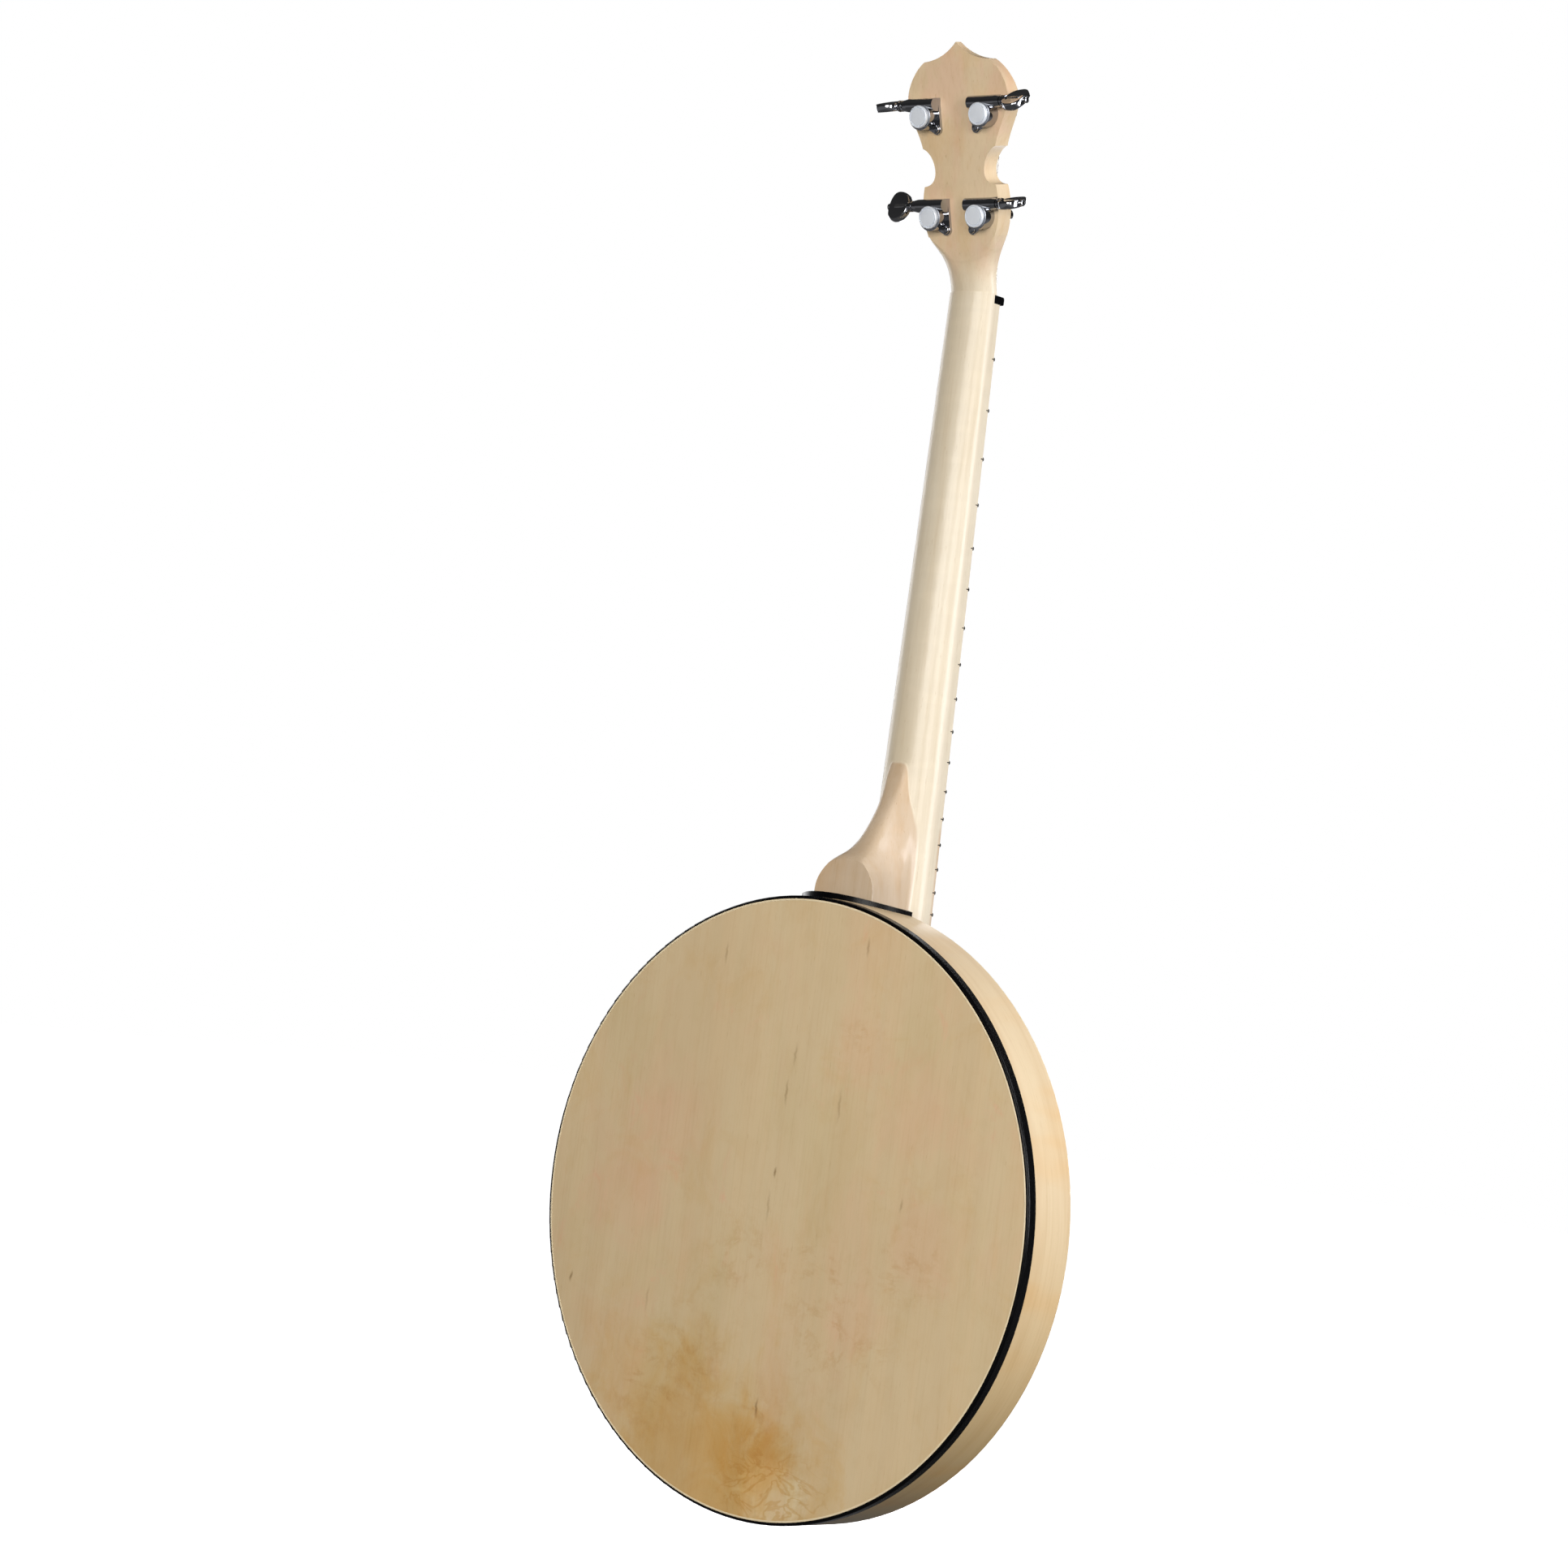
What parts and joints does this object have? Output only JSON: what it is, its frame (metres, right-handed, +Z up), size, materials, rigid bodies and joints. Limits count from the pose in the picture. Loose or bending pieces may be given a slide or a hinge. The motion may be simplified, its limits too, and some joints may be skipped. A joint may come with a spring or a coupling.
{
  "type": "banjo",
  "caption": "Tenor banjo with a fretted neck, geared tuners, a skin head tensioned by hooks on a wooden rim, and a closed wooden resonator behind it.",
  "frame": {"origin": "the pot's axis on the resonator's flat outer back face", "axes": "+Z up the neck towards the peghead, +Y out of the back, -Y out of the front where the strings are, +X to the right seen from the front"},
  "size_m": [0.3268, 0.08, 0.7887],
  "materials": {
    "blond_maple": "satin lacquer",
    "back_veneer": "satin lacquer",
    "pot_maple": "satin",
    "bridge_maple": "bare",
    "dark_wood": "oiled",
    "black_binding": "polished",
    "drum_film": "frosted",
    "nickel": "polished nickel plate",
    "chrome_plate": "polished chrome plate",
    "shaft_steel": "turned",
    "gear_brass": "machined",
    "fret_wire": "polished",
    "string_steel": "drawn wire"
  },
  "bodies": {
    "instrument": {"rim": "pot_maple", "head_film": "drum_film", "flesh_hoop": "nickel", "tension_hoop": "nickel", "tension_hooks": "nickel", "hook_nuts": "nickel", "bracket_shoes": "nickel", "bracket_bolts": "nickel", "coordinator_rod": "nickel", "rod_nuts": "nickel", "neck_bolt": "nickel", "resonator_brackets": "nickel", "bracket_screws": "nickel", "thumb_screws": "nickel", "tailpiece": "nickel", "tailpiece_bolt": "nickel", "tuner_bushings": "nickel", "tuner_screws": "nickel", "resonator_back": "back_veneer", "resonator_wall": "blond_maple", "resonator_binding": "black_binding", "notch_trim": "black_binding", "resonator_lugs": "pot_maple", "neck": "blond_maple", "fingerboard": "blond_maple", "frets": "fret_wire", "position_dots": "dark_wood", "nut": "black_binding", "strings": "string_steel", "bridge_body": "bridge_maple", "bridge_cap": "dark_wood", "tuner_housing_bass_lower": "chrome_plate", "tuner_cover_bass_lower": "chrome_plate", "tuner_housing_bass_upper": "chrome_plate", "tuner_cover_bass_upper": "chrome_plate", "tuner_housing_treble_upper": "chrome_plate", "tuner_cover_treble_upper": "chrome_plate", "tuner_housing_treble_lower": "chrome_plate", "tuner_cover_treble_lower": "chrome_plate"},
    "worm_bass_lower": {"worm_shaft_bass_lower": "shaft_steel", "tuner_button_bass_lower": "chrome_plate"},
    "post_bass_lower": {"string_post_bass_lower": "chrome_plate", "worm_gear_bass_lower": "gear_brass", "string_winding_bass_lower": "string_steel"},
    "worm_bass_upper": {"worm_shaft_bass_upper": "shaft_steel", "tuner_button_bass_upper": "chrome_plate"},
    "post_bass_upper": {"string_post_bass_upper": "chrome_plate", "worm_gear_bass_upper": "gear_brass", "string_winding_bass_upper": "string_steel"},
    "worm_treble_upper": {"worm_shaft_treble_upper": "shaft_steel", "tuner_button_treble_upper": "chrome_plate"},
    "post_treble_upper": {"string_post_treble_upper": "chrome_plate", "worm_gear_treble_upper": "gear_brass", "string_winding_treble_upper": "string_steel"},
    "worm_treble_lower": {"worm_shaft_treble_lower": "shaft_steel", "tuner_button_treble_lower": "chrome_plate"},
    "post_treble_lower": {"string_post_treble_lower": "chrome_plate", "worm_gear_treble_lower": "gear_brass", "string_winding_treble_lower": "string_steel"}
  },
  "joints": [
    {"name": "turn_button_bass_lower", "type": "hinge", "parent": "instrument", "child": "worm_bass_lower", "pos_m": [-0.0157, -0.04562, 0.53972], "axis": [1, 0, 0], "continuous": true},
    {"name": "turn_post_bass_lower", "type": "hinge", "parent": "instrument", "child": "post_bass_lower", "pos_m": [-0.0157, -0.05139, 0.53477], "axis": [0, -0.9703, 0.2419], "continuous": true},
    {"name": "turn_button_bass_upper", "type": "hinge", "parent": "instrument", "child": "worm_bass_upper", "pos_m": [-0.0201, -0.03265, 0.59173], "axis": [1, 0, 0], "continuous": true},
    {"name": "turn_post_bass_upper", "type": "hinge", "parent": "instrument", "child": "post_bass_upper", "pos_m": [-0.0201, -0.03842, 0.58678], "axis": [0, -0.9703, 0.2419], "continuous": true},
    {"name": "turn_button_treble_upper", "type": "hinge", "parent": "instrument", "child": "worm_treble_upper", "pos_m": [0.0201, -0.03265, 0.59173], "axis": [1, 0, 0], "continuous": true},
    {"name": "turn_post_treble_upper", "type": "hinge", "parent": "instrument", "child": "post_treble_upper", "pos_m": [0.0201, -0.03842, 0.58678], "axis": [0, -0.9703, 0.2419], "continuous": true},
    {"name": "turn_button_treble_lower", "type": "hinge", "parent": "instrument", "child": "worm_treble_lower", "pos_m": [0.0157, -0.04562, 0.53972], "axis": [1, 0, 0], "continuous": true},
    {"name": "turn_post_treble_lower", "type": "hinge", "parent": "instrument", "child": "post_treble_lower", "pos_m": [0.0157, -0.05139, 0.53477], "axis": [0, -0.9703, 0.2419], "continuous": true}
  ],
  "couplings": [
    {"joint": "turn_post_bass_lower", "follows": "turn_button_bass_lower", "ratio": 0.071429},
    {"joint": "turn_post_bass_upper", "follows": "turn_button_bass_upper", "ratio": 0.071429},
    {"joint": "turn_post_treble_upper", "follows": "turn_button_treble_upper", "ratio": 0.071429},
    {"joint": "turn_post_treble_lower", "follows": "turn_button_treble_lower", "ratio": 0.071429}
  ]
}
